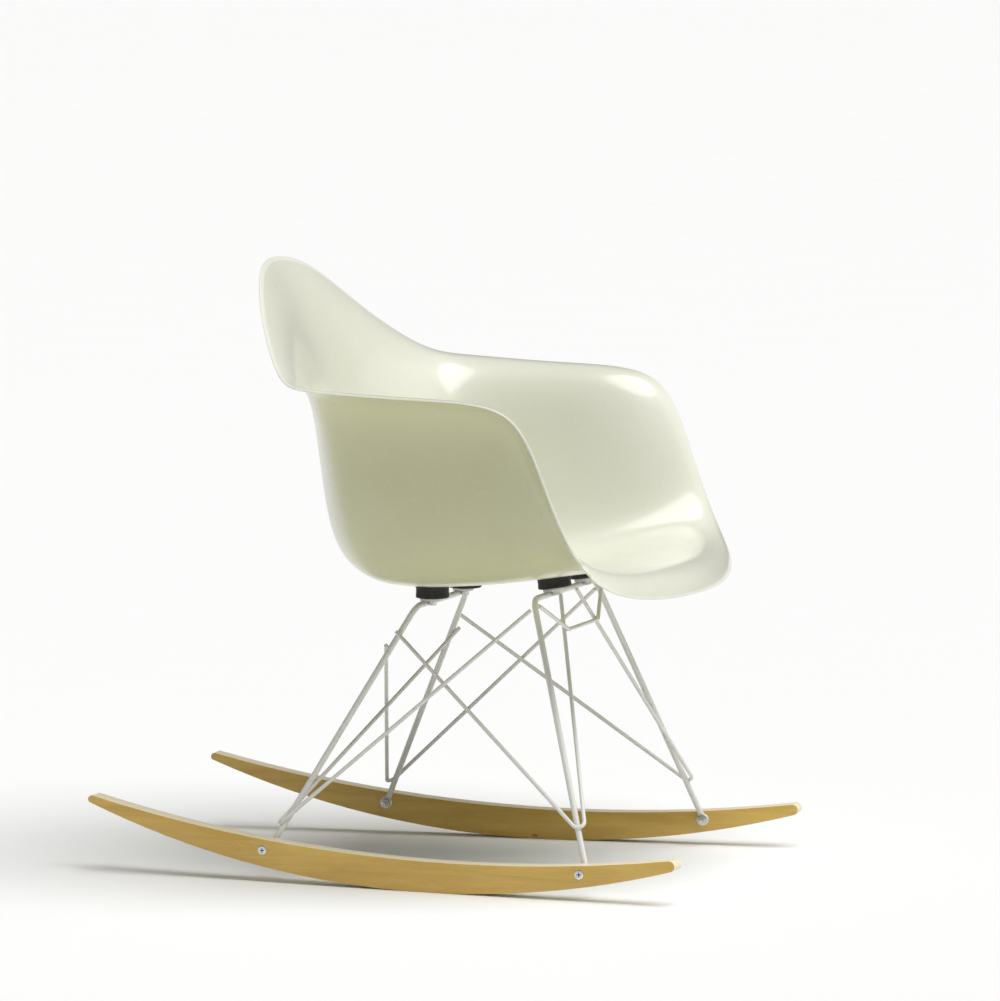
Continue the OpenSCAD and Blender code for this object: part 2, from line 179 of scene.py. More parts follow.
def turned(name: str, profile: Profile, sides: int, closed: bool = False) -> bpy.types.Object:
    """Turn a shape about the Z axis, ring by ring.

    Args:
        name: Name of the new piece.
        profile: (radius, height) pairs, in order.
        sides: Number of points round the shape.
        closed: True if the last pair runs on to the first, as on a washer.

    Returns:
        The finished piece, in object mode.
    """
    radius, height = profile[0]
    piece = start_ring(name, Vector((0, 0, height)), Vector((0, 0, 1)), radius, sides)
    if not closed:
        cap_ring()
    for next_radius, next_height in profile[1:] + (profile[:1] if closed else []):
        pull(Vector((0, 0, next_height - height)))
        swell((next_radius / radius, next_radius / radius, 1), Vector((0, 0, next_height)))
        radius, height = next_radius, next_height
    leave_editing()
    if not closed:
        close_open_end(piece)
    tidy_skin(piece)
    return piece


def close_open_end(piece: bpy.types.Object) -> None:
    """Close the open end of a turned solid.

    Args:
        piece: The turned solid, in object mode.
    """
    open_for_editing(piece)
    bpy.ops.mesh.select_all(action="DESELECT")
    bpy.ops.mesh.select_non_manifold(extend=False, use_wire=False, use_multi_face=False,
                                     use_non_contiguous=False, use_verts=False)
    mesh = bmesh.from_edit_mesh(piece.data)
    if any(edge.select for edge in mesh.edges):
        bpy.ops.mesh.edge_face_add()
    leave_editing()


def select_edges(piece: bpy.types.Object, wanted: Callable[[bmesh.types.BMEdge], bool]) -> int:
    """Select the edges that a test picks, in edit mode.

    Args:
        piece: The mesh object, in edit mode.
        wanted: A test on one edge.

    Returns:
        How many edges were picked.
    """
    bpy.ops.mesh.select_all(action="DESELECT")
    bpy.ops.mesh.select_mode(type="EDGE")
    mesh = bmesh.from_edit_mesh(piece.data)
    picked = [edge for edge in mesh.edges if wanted(edge)]
    for edge in picked:
        edge.select_set(True)
    mesh.select_flush_mode()
    bmesh.update_edit_mesh(piece.data)
    return len(picked)


def is_corner(edge: bmesh.types.BMEdge, angle: float = math.radians(30)) -> bool:
    """Tell whether two faces meet at a corner along an edge."""
    return len(edge.link_faces) == 2 and edge.calc_face_angle() > angle


def soften_corners(piece: bpy.types.Object, width: float, steps: int) -> None:
    """Round every corner of a piece a little.

    Args:
        piece: The mesh object, in object mode.
        width: Width of the rounding.
        steps: Number of faces across it.
    """
    open_for_editing(piece)
    if select_edges(piece, is_corner):
        bpy.ops.mesh.bevel(offset=width, segments=steps, profile=0.5, clamp_overlap=True)
    leave_editing()


def smooth(piece: bpy.types.Object, angle: float = 35) -> None:
    """Shade a piece smooth, apart from its corners.

    Args:
        piece: The mesh object.
        angle: Sharpest angle that still shades smooth, in degrees.
    """
    clear_selection()
    piece.select_set(True)
    bpy.context.view_layer.objects.active = piece
    bpy.ops.object.shade_smooth_by_angle(angle=math.radians(angle))


def apply_modifiers(piece: bpy.types.Object) -> None:
    """Apply every modifier of a piece."""
    clear_selection()
    piece.select_set(True)
    bpy.context.view_layer.objects.active = piece
    for name in [modifier.name for modifier in piece.modifiers]:
        bpy.ops.object.modifier_apply(modifier=name)


def traced(node: str, name: str) -> bpy.types.Object:
    """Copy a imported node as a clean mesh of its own, for refining.

    Args:
        node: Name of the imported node.
        name: Name of the new piece.

    Returns:
        The new object, with its doubled points merged.
    """
    piece = bpy.data.objects.new(name, NODES[node].data.copy())
    piece.data.name = name
    piece.data.materials.clear()
    bpy.context.scene.collection.objects.link(piece)
    clear_selection()
    piece.select_set(True)
    bpy.context.view_layer.objects.active = piece
    if piece.data.has_custom_normals:
        bpy.ops.mesh.customdata_custom_splitnormals_clear()
    tidy_skin(piece)
    return piece


def copied(piece: bpy.types.Object, name: str, place: Matrix) -> bpy.types.Object:
    """Copy a piece with a mesh of its own, and set the copy in its place.

    Args:
        piece: The piece to copy.
        name: Name of the copy.
        place: Where the copy goes, put into its mesh.

    Returns:
        The copy.
    """
    twin = bpy.data.objects.new(name, piece.data.copy())
    twin.data.name = name
    bpy.context.scene.collection.objects.link(twin)
    twin.data.transform(place)
    return twin


def join_as(pieces: list[bpy.types.Object], name: str) -> bpy.types.Object:
    """Join pieces into one object.

    Args:
        pieces: The pieces; the first one stays.
        name: Name of the joined piece.

    Returns:
        The joined piece.
    """
    clear_selection()
    for piece in pieces:
        piece.select_set(True)
    bpy.context.view_layer.objects.active = pieces[0]
    if len(pieces) > 1:
        bpy.ops.object.join()
    pieces[0].name = name
    pieces[0].data.name = name
    return pieces[0]


def dress(piece: bpy.types.Object, *finishes: bpy.types.Material) -> None:
    """Give a piece its materials, in the order of its slots."""
    piece.data.materials.clear()
    for finish in finishes:
        piece.data.materials.append(finish)


def dress_node(node: str, finish: bpy.types.Material) -> None:
    """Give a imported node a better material, on its object's slots."""
    for material_slot in NODES[node].material_slots:
        material_slot.link = "OBJECT"
        material_slot.material = finish


def fit_piece(piece: bpy.types.Object, slot: str, *nodes: str) -> None:
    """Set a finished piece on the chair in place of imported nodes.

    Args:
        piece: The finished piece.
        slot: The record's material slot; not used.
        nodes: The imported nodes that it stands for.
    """
    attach(piece, BODY)
    if nodes:
        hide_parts(*nodes)
    faces = len(piece.data.polygons)
    log.info("%s: %d faces, for %s", piece.name, faces, ", ".join(nodes) or "no node")


# ---- finishes ----
Tone = tuple[float, float, float] | bpy.types.NodeSocket


class Recipe:
    """A material being mixed: its texture nodes and the shader that they feed."""

    def __init__(self, name: str) -> None:
        """Start a material with its shader and the piece's own coordinates.

        Args:
            name: Name of the material.
        """
        self.material = bpy.data.materials.new(name)
        self.material.use_nodes = True
        self.tree = self.material.node_tree
        self.shader = self.tree.nodes["Principled BSDF"]
        self.coordinates = self.tree.nodes.new("ShaderNodeTexCoord").outputs["Object"]

    def link(self, source: bpy.types.NodeSocket, target: bpy.types.NodeSocket) -> None:
        """Join two sockets."""
        self.tree.links.new(source, target)

    def stretch(self, scale: tuple[float, float, float], turn: float = 0.0,
                source: bpy.types.NodeSocket | None = None) -> bpy.types.NodeSocket:
        """Turn about Z and stretch the coordinates.

        Args:
            scale: Scale along each axis.
            turn: Turn about Z in degrees, made before the stretch.
            source: Coordinates to start from; the piece's own if left out.

        Returns:
            The new coordinates.
        """
        place = self.tree.nodes.new("ShaderNodeMapping")
        place.inputs["Rotation"].default_value = (0, 0, math.radians(turn))
        self.link(source or self.coordinates, place.inputs["Vector"])
        spread = self.tree.nodes.new("ShaderNodeMapping")
        spread.inputs["Scale"].default_value = scale
        self.link(place.outputs["Vector"], spread.inputs["Vector"])
        return spread.outputs["Vector"]

    def noise(self, scale: float, detail: float = 3.0, roughness: float = 0.5,
              source: bpy.types.NodeSocket | None = None, distortion: float = 0.0) -> bpy.types.NodeSocket:
        """Add soft random clouds.

        Args:
            scale: Clouds per metre, roughly.
            detail: How many finer layers are added.
            roughness: How strong the finer layers are.
            source: Coordinates to use; the piece's own if left out.
            distortion: How much the clouds are stirred.

        Returns:
            The strength of the cloud, from 0 to 1.
        """
        node = self.tree.nodes.new("ShaderNodeTexNoise")
        node.inputs["Scale"].default_value = scale
        node.inputs["Detail"].default_value = detail
        node.inputs["Roughness"].default_value = roughness
        node.inputs["Distortion"].default_value = distortion
        self.link(source or self.coordinates, node.inputs["Vector"])
        return node.outputs["Fac"]

    def ramp(self, source: bpy.types.NodeSocket, low: float, high: float,
             out_low: float = 0.0, out_high: float = 1.0) -> bpy.types.NodeSocket:
        """Spread a range of strengths over another range.

        Args:
            source: Strength to change.
            low: Strength that becomes out_low.
            high: Strength that becomes out_high.
            out_low: Lower end of the result.
            out_high: Upper end of the result.

        Returns:
            The changed strength.
        """
        node = self.tree.nodes.new("ShaderNodeMapRange")
        node.inputs["From Min"].default_value = low
        node.inputs["From Max"].default_value = high
        node.inputs["To Min"].default_value = out_low
        node.inputs["To Max"].default_value = out_high
        self.link(source, node.inputs["Value"])
        return node.outputs["Result"]

    def blend(self, amount: bpy.types.NodeSocket, first: Tone, second: Tone) -> bpy.types.NodeSocket:
        """Mix two colours.

        Args:
            amount: Share of the second colour.
            first: A colour, or the socket that gives it.
            second: A colour, or the socket that gives it.

        Returns:
            The mixed colour.
        """
        node = self.tree.nodes.new("ShaderNodeMix")
        node.data_type = "RGBA"
        self.link(amount, node.inputs["Factor"])
        colour_inputs = [socket for socket in node.inputs if socket.type == "RGBA"]
        for socket, tone in zip(colour_inputs, (first, second)):
            if isinstance(tone, tuple):
                socket.default_value = (*tone, 1.0)
            else:
                self.link(tone, socket)
        return [socket for socket in node.outputs if socket.type == "RGBA"][0]

    def relief(self, height: bpy.types.NodeSocket, depth: float,
               below: bpy.types.NodeSocket | None = None) -> bpy.types.NodeSocket:
        """Turn a strength into fine relief.

        Args:
            height: Strength of the relief.
            depth: Depth in metres where the strength is 1.
            below: Coarser relief that this one lies on.

        Returns:
            The surface direction.
        """
        node = self.tree.nodes.new("ShaderNodeBump")
        node.inputs["Strength"].default_value = 1.0
        node.inputs["Distance"].default_value = depth
        self.link(height, node.inputs["Height"])
        if below is not None:
            self.link(below, node.inputs["Normal"])
        return node.outputs["Normal"]

    def feed(self, **sockets: bpy.types.NodeSocket) -> None:
        """Join sockets to the shader's inputs, named with _ for a space."""
        for name, source in sockets.items():
            self.link(source, self.shader.inputs[name.replace("_", " ")])

    def fix(self, **values: float) -> None:
        """Set the shader's plain values, named with _ for a space."""
        for name, value in values.items():
            self.shader.inputs[name.replace("_", " ")].default_value = value


@dataclass(frozen=True)
class MouldedFinish:
    """Glass-fibre moulding: chopped strands under a satin gel coat."""

    name: str = "moulded shell"
    light: tuple[float, float, float] = (0.76, 0.765, 0.65)
    deep: tuple[float, float, float] = (0.73, 0.735, 0.61)
    lifted: tuple[float, float, float] = (0.79, 0.79, 0.69)
    strand_length: float = 30.0
    strand_width: float = 700.0
    strand_turns: tuple[float, ...] = (12.0, 74.0, 131.0)
    relief_depth: float = 0.02 * MM

    def strands(self, recipe: Recipe) -> bpy.types.NodeSocket:
        """Lay three sheets of fine strands over each other.

        Args:
            recipe: The material being mixed.

        Returns:
            How much strand shows at a place.
        """
        total = None
        for turn in self.strand_turns:
            lie = recipe.stretch((self.strand_width, self.strand_length, self.strand_length * 4), turn)
            sheet = recipe.noise(1.0, 2.0, 0.45, lie, 0.4)
            if total is None:
                total = sheet
                continue
            node = recipe.tree.nodes.new("ShaderNodeMath")
            node.operation = "MAXIMUM"
            recipe.link(total, node.inputs[0])
            recipe.link(sheet, node.inputs[1])
            total = node.outputs["Value"]
        return total

    def mix(self) -> bpy.types.Material:
        """Mix the material.

        Returns:
            The finished material.
        """
        recipe = Recipe(self.name)
        strands = self.strands(recipe)
        clouds = recipe.noise(7.0, 3.0, 0.55)
        tone = recipe.blend(recipe.ramp(clouds, 0.35, 0.65), self.light, self.deep)
        streaked = recipe.blend(recipe.ramp(strands, 0.58, 0.8, 0.0, 0.55), tone, self.lifted)
        scuffs = recipe.noise(160.0, 4.0, 0.6)
        fine = recipe.relief(strands, self.relief_depth)
        waves = recipe.relief(recipe.noise(26.0, 1.0, 0.4), 0.12 * MM, fine)
        recipe.feed(Base_Color=streaked, Roughness=recipe.ramp(scuffs, 0.3, 0.75, 0.27, 0.40), Normal=waves)
        recipe.fix(Coat_Weight=0.6, Coat_Roughness=0.12, Specular_IOR_Level=0.5)
        return recipe.material


@dataclass(frozen=True)
class TrimmedEdgeFinish:
    """The shell's cut and polished edge, paler, with fibre ends showing."""

    pale: tuple[float, float, float] = (0.79, 0.795, 0.69)
    fibre: tuple[float, float, float] = (0.73, 0.735, 0.60)

    def mix(self) -> bpy.types.Material:
        """Mix the material.

        Returns:
            The finished material.
        """
        recipe = Recipe("trimmed edge")
        ends = recipe.noise(420.0, 3.0, 0.65)
        rubbed = recipe.noise(34.0, 2.0, 0.5)
        tone = recipe.blend(recipe.ramp(ends, 0.52, 0.7), self.pale, self.fibre)
        recipe.feed(
            Base_Color=tone,
            Roughness=recipe.ramp(rubbed, 0.3, 0.7, 0.26, 0.45),
            Normal=recipe.relief(ends, 0.03 * MM),
        )
        recipe.fix(Coat_Weight=0.25, Coat_Roughness=0.2)
        return recipe.material


@dataclass(frozen=True)
class PowderCoatFinish:
    """Warm white powder coat with a fine orange-peel skin."""

    coat: tuple[float, float, float] = (0.80, 0.80, 0.755)
    shade: tuple[float, float, float] = (0.75, 0.75, 0.70)
    rub: tuple[float, float, float] = (0.65, 0.65, 0.62)

    def mix(self) -> bpy.types.Material:
        """Mix the material.

        Returns:
            The finished material.
        """
        recipe = Recipe("powder coat")
        drift = recipe.noise(18.0, 3.0, 0.5)
        specks = recipe.noise(520.0, 2.0, 0.6)
        wear = recipe.noise(75.0, 5.0, 0.7)
        tone = recipe.blend(recipe.ramp(drift, 0.38, 0.66), self.coat, self.shade)
        worn = recipe.blend(recipe.ramp(wear, 0.70, 0.78, 0.0, 0.8), tone, self.rub)
        peel = recipe.relief(recipe.noise(1100.0, 1.0, 0.4), 0.01 * MM)
        recipe.feed(
            Base_Color=worn,
            Roughness=recipe.ramp(specks, 0.3, 0.7, 0.34, 0.48),
            Normal=peel,
        )
        recipe.fix(Coat_Weight=0.15, Coat_Roughness=0.3)
        return recipe.material


@dataclass(frozen=True)
class RubberFinish:
    """Moulded black rubber with a dusty bloom."""

    black: tuple[float, float, float] = (0.012, 0.0115, 0.010)
    bloom: tuple[float, float, float] = (0.035, 0.033, 0.028)

    def mix(self) -> bpy.types.Material:
        """Mix the material.

        Returns:
            The finished material.
        """
        recipe = Recipe("mount rubber")
        dust = recipe.noise(120.0, 5.0, 0.65)
        pores = recipe.noise(1300.0, 2.0, 0.6)
        tone = recipe.blend(recipe.ramp(dust, 0.45, 0.75), self.black, self.bloom)
        recipe.feed(
            Base_Color=tone,
            Roughness=recipe.ramp(dust, 0.3, 0.7, 0.48, 0.72),
            Normal=recipe.relief(pores, 0.05 * MM),
        )
        recipe.fix(Specular_IOR_Level=0.4)
        return recipe.material


@dataclass(frozen=True)
class MapleFinish:
    """Honey-lacquered maple with fine grain along the rocker."""

    grain: Grain
    honey: tuple[float, float, float] = (0.74, 0.495, 0.115)
    amber: tuple[float, float, float] = (0.60, 0.375, 0.070)
    pale: tuple[float, float, float] = (0.82, 0.60, 0.21)
    knot: tuple[float, float, float] = (0.20, 0.095, 0.028)

    def mix(self) -> bpy.types.Material:
        """Mix the material.

        Returns:
            The finished material.
        """
        recipe = Recipe("maple " + self.grain.name.lower())
        turn = self.grain.value
        rings = recipe.noise(1.0, 3.0, 0.5, recipe.stretch((55.0, 1.6, 75.0), turn), 0.6)
        streaks = recipe.noise(1.0, 6.0, 0.7, recipe.stretch((420.0, 7.0, 420.0), turn), 0.2)
        flecks = recipe.noise(1.0, 2.0, 0.5, recipe.stretch((1500.0, 120.0, 1500.0), turn))
        patches = recipe.noise(1.0, 2.0, 0.5, recipe.stretch((14.0, 5.0, 14.0), turn))
        tone = recipe.blend(recipe.ramp(rings, 0.32, 0.68), self.honey, self.amber)
        streaked = recipe.blend(recipe.ramp(streaks, 0.48, 0.76, 0.0, 0.45), tone, self.pale)
        clouded = recipe.blend(recipe.ramp(patches, 0.45, 0.72, 0.0, 0.35), streaked, self.amber)
        dotted = recipe.blend(recipe.ramp(flecks, 0.62, 0.76, 0.0, 0.16), clouded, self.knot)
        knotted = recipe.blend(self.knots(recipe, turn), dotted, self.knot)
        pores = recipe.relief(flecks, -0.03 * MM)
        recipe.feed(
            Base_Color=knotted,
            Roughness=recipe.ramp(streaks, 0.3, 0.7, 0.33, 0.47),
            Normal=recipe.relief(streaks, 0.04 * MM, pores),
        )
        recipe.fix(Coat_Weight=0.3, Coat_Roughness=0.22)
        return recipe.material

    def knots(self, recipe: Recipe, turn: float) -> bpy.types.NodeSocket:
        """Scatter a few pin knots.

        Args:
            recipe: The material being mixed.
            turn: Lie of the grain in degrees.

        Returns:
            How much knot shows at a place.
        """
        node = recipe.tree.nodes.new("ShaderNodeTexVoronoi")
        node.inputs["Scale"].default_value = 1.0
        recipe.link(recipe.stretch((30.0, 13.0, 30.0), turn), node.inputs["Vector"])
        return recipe.ramp(node.outputs["Distance"], 0.035, 0.075, 0.7, 0.0)


@dataclass(frozen=True)
class PaintedHighlightEdgeFinish:
    """Pale cream on the top, sole and tips of a rocker, a painted highlight, with the wood's finer and
    fainter grain over it.
    """

    grain: Grain
    painted_highlight_cream: tuple[float, float, float] = (0.88, 0.80, 0.60)
    straw: tuple[float, float, float] = (0.76, 0.64, 0.41)

    def mix(self) -> bpy.types.Material:
        """Mix the material.

        Returns:
            The finished material.
        """
        recipe = Recipe("painted highlight edge " + self.grain.name.lower())
        turn = self.grain.value
        lines = recipe.noise(1.0, 5.0, 0.65, recipe.stretch((520.0, 6.0, 260.0), turn), 0.3)
        pores = recipe.noise(1.0, 2.0, 0.5, recipe.stretch((1500.0, 140.0, 1500.0), turn))
        tone = recipe.blend(recipe.ramp(lines, 0.40, 0.72, 0.0, 0.75), self.painted_highlight_cream, self.straw)
        recipe.feed(
            Base_Color=tone,
            Roughness=recipe.ramp(lines, 0.3, 0.7, 0.42, 0.58),
            Normal=recipe.relief(pores, -0.02 * MM),
        )
        recipe.fix(Coat_Weight=0.1, Coat_Roughness=0.35)
        return recipe.material


@dataclass(frozen=True)
class RecessPaintedShadeFinish:
    """The inside of a driver recess, painted near black as shade, with lighter scrapes of wear."""

    shadow: tuple[float, float, float] = (0.03, 0.03, 0.032)
    scraped: tuple[float, float, float] = (0.11, 0.11, 0.11)

    def mix(self) -> bpy.types.Material:
        """Mix the material.

        Returns:
            The finished material.
        """
        recipe = Recipe("driver recess")
        scrapes = recipe.noise(900.0, 3.0, 0.6)
        recipe.feed(
            Base_Color=recipe.blend(recipe.ramp(scrapes, 0.5, 0.75), self.shadow, self.scraped),
            Roughness=recipe.ramp(scrapes, 0.3, 0.7, 0.4, 0.7),
        )
        recipe.fix(Metallic=0.6)
        return recipe.material


@dataclass(frozen=True)
class PlatedFinish:
    """Bright zinc plate, faintly clouded and scratched."""

    name: str = "bright zinc"
    bright: tuple[float, float, float] = (0.78, 0.78, 0.76)
    dull: tuple[float, float, float] = (0.60, 0.61, 0.61)

    def mix(self) -> bpy.types.Material:
        """Mix the material.

        Returns:
            The finished material.
        """
        recipe = Recipe(self.name)
        clouds = recipe.noise(240.0, 4.0, 0.6)
        scratches = recipe.noise(1.0, 3.0, 0.6, recipe.stretch((2600.0, 160.0, 2600.0), 20.0))
        tone = recipe.blend(recipe.ramp(clouds, 0.35, 0.7), self.bright, self.dull)
        recipe.feed(
            Base_Color=tone,
            Roughness=recipe.ramp(clouds, 0.3, 0.7, 0.22, 0.40),
            Normal=recipe.relief(scratches, 0.01 * MM),
        )
        recipe.fix(Metallic=1.0)
        return recipe.material


@dataclass(frozen=True)
class FloorFinish:
    """Plain matt white floor with the faintest unevenness."""

    white: tuple[float, float, float] = (0.93, 0.93, 0.925)
    soft: tuple[float, float, float] = (0.915, 0.915, 0.91)

    def mix(self) -> bpy.types.Material:
        """Mix the material.

        Returns:
            The finished material.
        """
        recipe = Recipe("studio floor")
        clouds = recipe.noise(3.0, 2.0, 0.5)
        recipe.feed(
            Base_Color=recipe.blend(recipe.ramp(clouds, 0.3, 0.7), self.white, self.soft),
            Roughness=recipe.ramp(clouds, 0.3, 0.7, 0.75, 0.85),
        )
        return recipe.material


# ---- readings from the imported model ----
WELD_SPREAD = 14 * MM
SAMPLE_STEP = 2 * MM
SEARCH_RADIUS = 8 * MM


def middle(node: str) -> Vector:
    """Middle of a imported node's box."""
    low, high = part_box(node)
    return (low + high) / 2


def flat_end(node: str, direction: Vector, lean: float = 25.0) -> tuple[Vector, Vector]:
    """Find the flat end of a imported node.

    Args:
        node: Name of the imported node.
        direction: Roughly the way the end faces.
        lean: How far off it the end may face, in degrees.

    Returns:
        The middle of the end and the way it really faces.
    """
    faces = [face for face in NODES[node].data.polygons
             if face.normal.angle(direction, math.pi) < math.radians(lean)]
    area = sum(face.area for face in faces)
    way = sum((face.normal * face.area for face in faces), Vector()) / area
    place = sum((face.center * face.area for face in faces), Vector()) / area
    return place, way.normalized()


def touching_places(first: str, second: str, reach: float = 0.35 * MM) -> list[Vector]:
    """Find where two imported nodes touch.

    Args:
        first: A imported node.
        second: The node that it touches.
        reach: Largest gap that still counts as touching.

    Returns:
        The middle of each place of contact.
    """
    mesh = NODES[second].data
    points = [vertex.co for vertex in mesh.vertices]
    tree = BVHTree.FromPolygons(points, [tuple(face.vertices) for face in mesh.polygons])
    places: list[list[Vector]] = []
    for start, end in wire_runs(first):
        found = tree.find_nearest(start.lerp(end, 0.5), (end - start).length / 2 + reach)
        if found[0] is None:
            continue
        near = nearest_on_run(tree, start, end)
        if near is None or near[1] > reach:
            continue
        home = next((group for group in places if (group[0] - near[0]).length < WELD_SPREAD), None)
        if home is None:
            places.append([near[0]])
        else:
            home.append(near[0])
    return [sum(group, Vector()) / len(group) for group in places]


def wire_runs(node: str) -> list[tuple[Vector, Vector]]:
    """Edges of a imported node's mesh, each as its two ends."""
    mesh = NODES[node].data
    return [(mesh.vertices[edge.vertices[0]].co, mesh.vertices[edge.vertices[1]].co) for edge in mesh.edges]


def nearest_on_run(tree: BVHTree, start: Vector, end: Vector) -> tuple[Vector, float] | None:
    """Find the point of an edge that lies nearest to another node.

    Args:
        tree: The other node's faces.
        start: One end of the edge.
        end: The other end.

    Returns:
        The point and its distance, or None if nothing is near.
    """
    samples = max(2, int((end - start).length / SAMPLE_STEP))
    best = None
    for index in range(samples + 1):
        point = start.lerp(end, index / samples)
        found = tree.find_nearest(point, SEARCH_RADIUS)
        if found[0] is not None and (best is None or found[3] < best[1]):
            best = (point, found[3])
    return best


# ---- the chair's sub-assemblies ----
@dataclass
class SeatShell:
    """The one-piece seat, back and arms."""

    rim_band: float = 3.51 * MM
    pan_half: float = 0.1
    pan_front: float = -0.2
    levels: int = 2
    quad_angle: float = math.radians(70)
    sitter: Vector = field(default_factory=lambda: Vector((0, -0.35, 0.9)))

    def build(self) -> bpy.types.Object:
        """Refine the moulding to a smooth skin with a rounded edge.

        Returns:
            The finished shell.
        """
        piece = traced("seat_shell", "moulded_shell")
        open_for_editing(piece)
        bpy.ops.mesh.tris_convert_to_quads(face_threshold=self.quad_angle, shape_threshold=self.quad_angle)
        leave_editing()
        self.mark_painted_shade(piece)
        self.mark_rim(piece)
        rounding = piece.modifiers.new("rounding", "SUBSURF")
        rounding.levels = self.levels
        rounding.render_levels = self.levels
        apply_modifiers(piece)
        smooth(piece, 60)
        return piece

    def mark_rim(self, piece: bpy.types.Object) -> None:
        """Give the narrow faces of the edge the second finish.

        Args:
            piece: The shell before it is rounded.
        """
        mesh = piece.data
        half_height = middle("seat_shell").z
        for face in mesh.polygons:
            corners = [mesh.vertices[index].co for index in face.vertices]
            sides = [(corners[i] - corners[i - 1]).length for i in range(len(corners))]
            narrow = min(sides) < self.rim_band
            beside_pan = abs(face.center.x) > self.pan_half or face.center.y < self.pan_front
            off_pan = face.center.z > half_height or beside_pan
            if narrow and off_pan and len(corners) == 4:
                face.material_index = 1

    def mark_painted_shade(self, piece: bpy.types.Object) -> None:
        """Give the outside and underside the third finish, a darker, more yellow copy of the moulding's
        colour that is painted shade for that side.

        Args:
            piece: The shell before it is rounded.
        """
        for face in piece.data.polygons:
            faces_out = (face.center - self.sitter).dot(face.normal) > 0
            face.material_index = 2 if faces_out else 0

    def fit(self, inner: bpy.types.Material, edge: bpy.types.Material, painted_shade_outside: bpy.types.Material) -> None:
        """Build the shell, dress it and set it on the chair."""
        piece = self.build()
        slots = [face.material_index for face in piece.data.polygons]
        # The third finish, on the outside faces, is painted shade.
        dress(piece, inner, edge, painted_shade_outside)
        piece.data.polygons.foreach_set("material_index", slots)
        log.info("shell faces inside, on the edge, outside: %s", [slots.count(index) for index in range(3)])
        fit_piece(piece, "shell", "seat_shell")


@dataclass
class ShockMounts:
    """Rubber mounts bonded under the seat, each on a welded plate with a screw and a washer."""

    flange_radius: float = 25 * MM
    flange_height: float = 3.5 * MM
    body_radius: float = 21.5 * MM
    body_height: float = 15 * MM
    waist: float = 0.4 * MM
    lip: float = 1.0 * MM
    sides: int = 64
    screw_radius: float = 3 * MM
    head_radius: float = 5.5 * MM
    head_height: float = 4 * MM
    washer_radius: float = 6.3 * MM
    washer_height: float = 1.6 * MM
    plate_height: float = 4 * MM
    places: tuple[str, ...] = ("front_left", "front_right", "rear_left", "rear_right")

    def rubber(self) -> bpy.types.Object:
        """Turn one mount, its top at the origin.

        Returns:
            The mount, upright.
        """
        foot = -self.flange_height - self.body_height
        neck = -self.flange_height
        body, flange, lip, waist = self.body_radius, self.flange_radius, self.lip, self.waist
        profile = [
            (6.2 * MM, foot + 2 * lip), (6.4 * MM, foot + 0.3 * lip), (7.0 * MM, foot),
            (body - 2 * lip, foot), (body - lip, foot + 0.25 * lip), (body - 0.25 * lip, foot + lip),
            (body, foot + 2 * lip), (body, foot + 3 * lip), (body - 0.6 * waist, foot + 4.5 * lip),
            (body - waist, foot + 7 * lip), (body - waist, neck - 4 * lip),
            (body - 0.5 * waist, neck - 2 * lip), (body + 0.6 * lip, neck - 0.8 * lip),
            (body + 1.6 * lip, neck - 0.1 * lip), (flange - 0.8 * lip, neck),
            (flange - 0.2 * lip, neck + 0.3 * lip), (flange, neck + lip), (flange, -0.8 * lip),
            (flange - 0.3 * lip, -0.25 * lip), (flange - lip, 0.0),
        ]
        return turned("rubber_mount", profile, self.sides)

    def hex_screw(self) -> bpy.types.Object:
        """Turn one hexagon screw, the underside of its head at the origin.

        Returns:
            The screw, its head downwards.
        """
        head = self.head_radius
        profile = [
            (0.55 * head, -self.head_height + 0.5 * MM), (0.62 * head, -self.head_height),
            (0.86 * head, -self.head_height), (head, -self.head_height + 0.6 * MM), (head, 0.0),
        ]
        piece = turned("screw_head", profile, 6)
        shank_profile = [(self.screw_radius, -0.5 * MM), (self.screw_radius, self.washer_height)]
        shank = turned("screw_shank", shank_profile, 24)
        return join_as([piece, shank], "hexagon_screw")

    def washer(self) -> bpy.types.Object:
        """Turn one washer, its underside at the origin.

        Returns:
            The washer.
        """
        return washer_ring("plain_washer", 3.25 * MM, self.washer_radius, self.washer_height)

    def fit(self, rubber: bpy.types.Material, coat: bpy.types.Material, plated: bpy.types.Material,
            brass: bpy.types.Material) -> None:
        """Build the four mounts with their plates and fasteners, and set them on the chair."""
        mount, screw, washer = self.rubber(), self.hex_screw(), self.washer()
        screws, washers = [], []
        stack = self.flange_height + self.body_height + self.plate_height
        for place in self.places:
            node = "shock_mount_" + place
            top, up = flat_end(node, Vector((0, 0, 1)))
            pose = Matrix.Translation(top) @ up.to_track_quat("Z", "Y").to_matrix().to_4x4()
            piece = copied(mount, "rubber_mount_" + place, pose)
            smooth(piece)
            dress(piece, rubber)
            fit_piece(piece, "rubber", node)
            under = pose @ Matrix.Translation((0, 0, -stack))
            washers.append(copied(washer, "washer", under @ Matrix.Translation((0, 0, -self.washer_height))))
            screws.append(copied(screw, "screw", under @ Matrix.Translation((0, 0, -self.washer_height))))
            self.fit_plate(place, coat)
        for group, name, node in ((screws, "hexagon_screws", "mount_screws"),
                                  (washers, "mount_washer_set", "mount_washers")):
            piece = join_as(group, name)
            smooth(piece)
            dress(piece, plated)
            fit_piece(piece, "zinc", node)
        for spare in (mount, screw, washer):
            bpy.data.objects.remove(spare)
        dress_node("mount_inserts", brass)

    def fit_plate(self, place: str, coat: bpy.types.Material) -> None:
        """Soften the corners of one welded plate and set it on the chair.

        Args:
            place: Which mount the plate is under.
            coat: Its finish.
        """
        piece = traced("mount_plate_" + place, "welded_plate_" + place)
        soften_corners(piece, 0.7 * MM, 2)
        smooth(piece)
        dress(piece, coat)
        fit_piece(piece, "wire", "mount_plate_" + place)


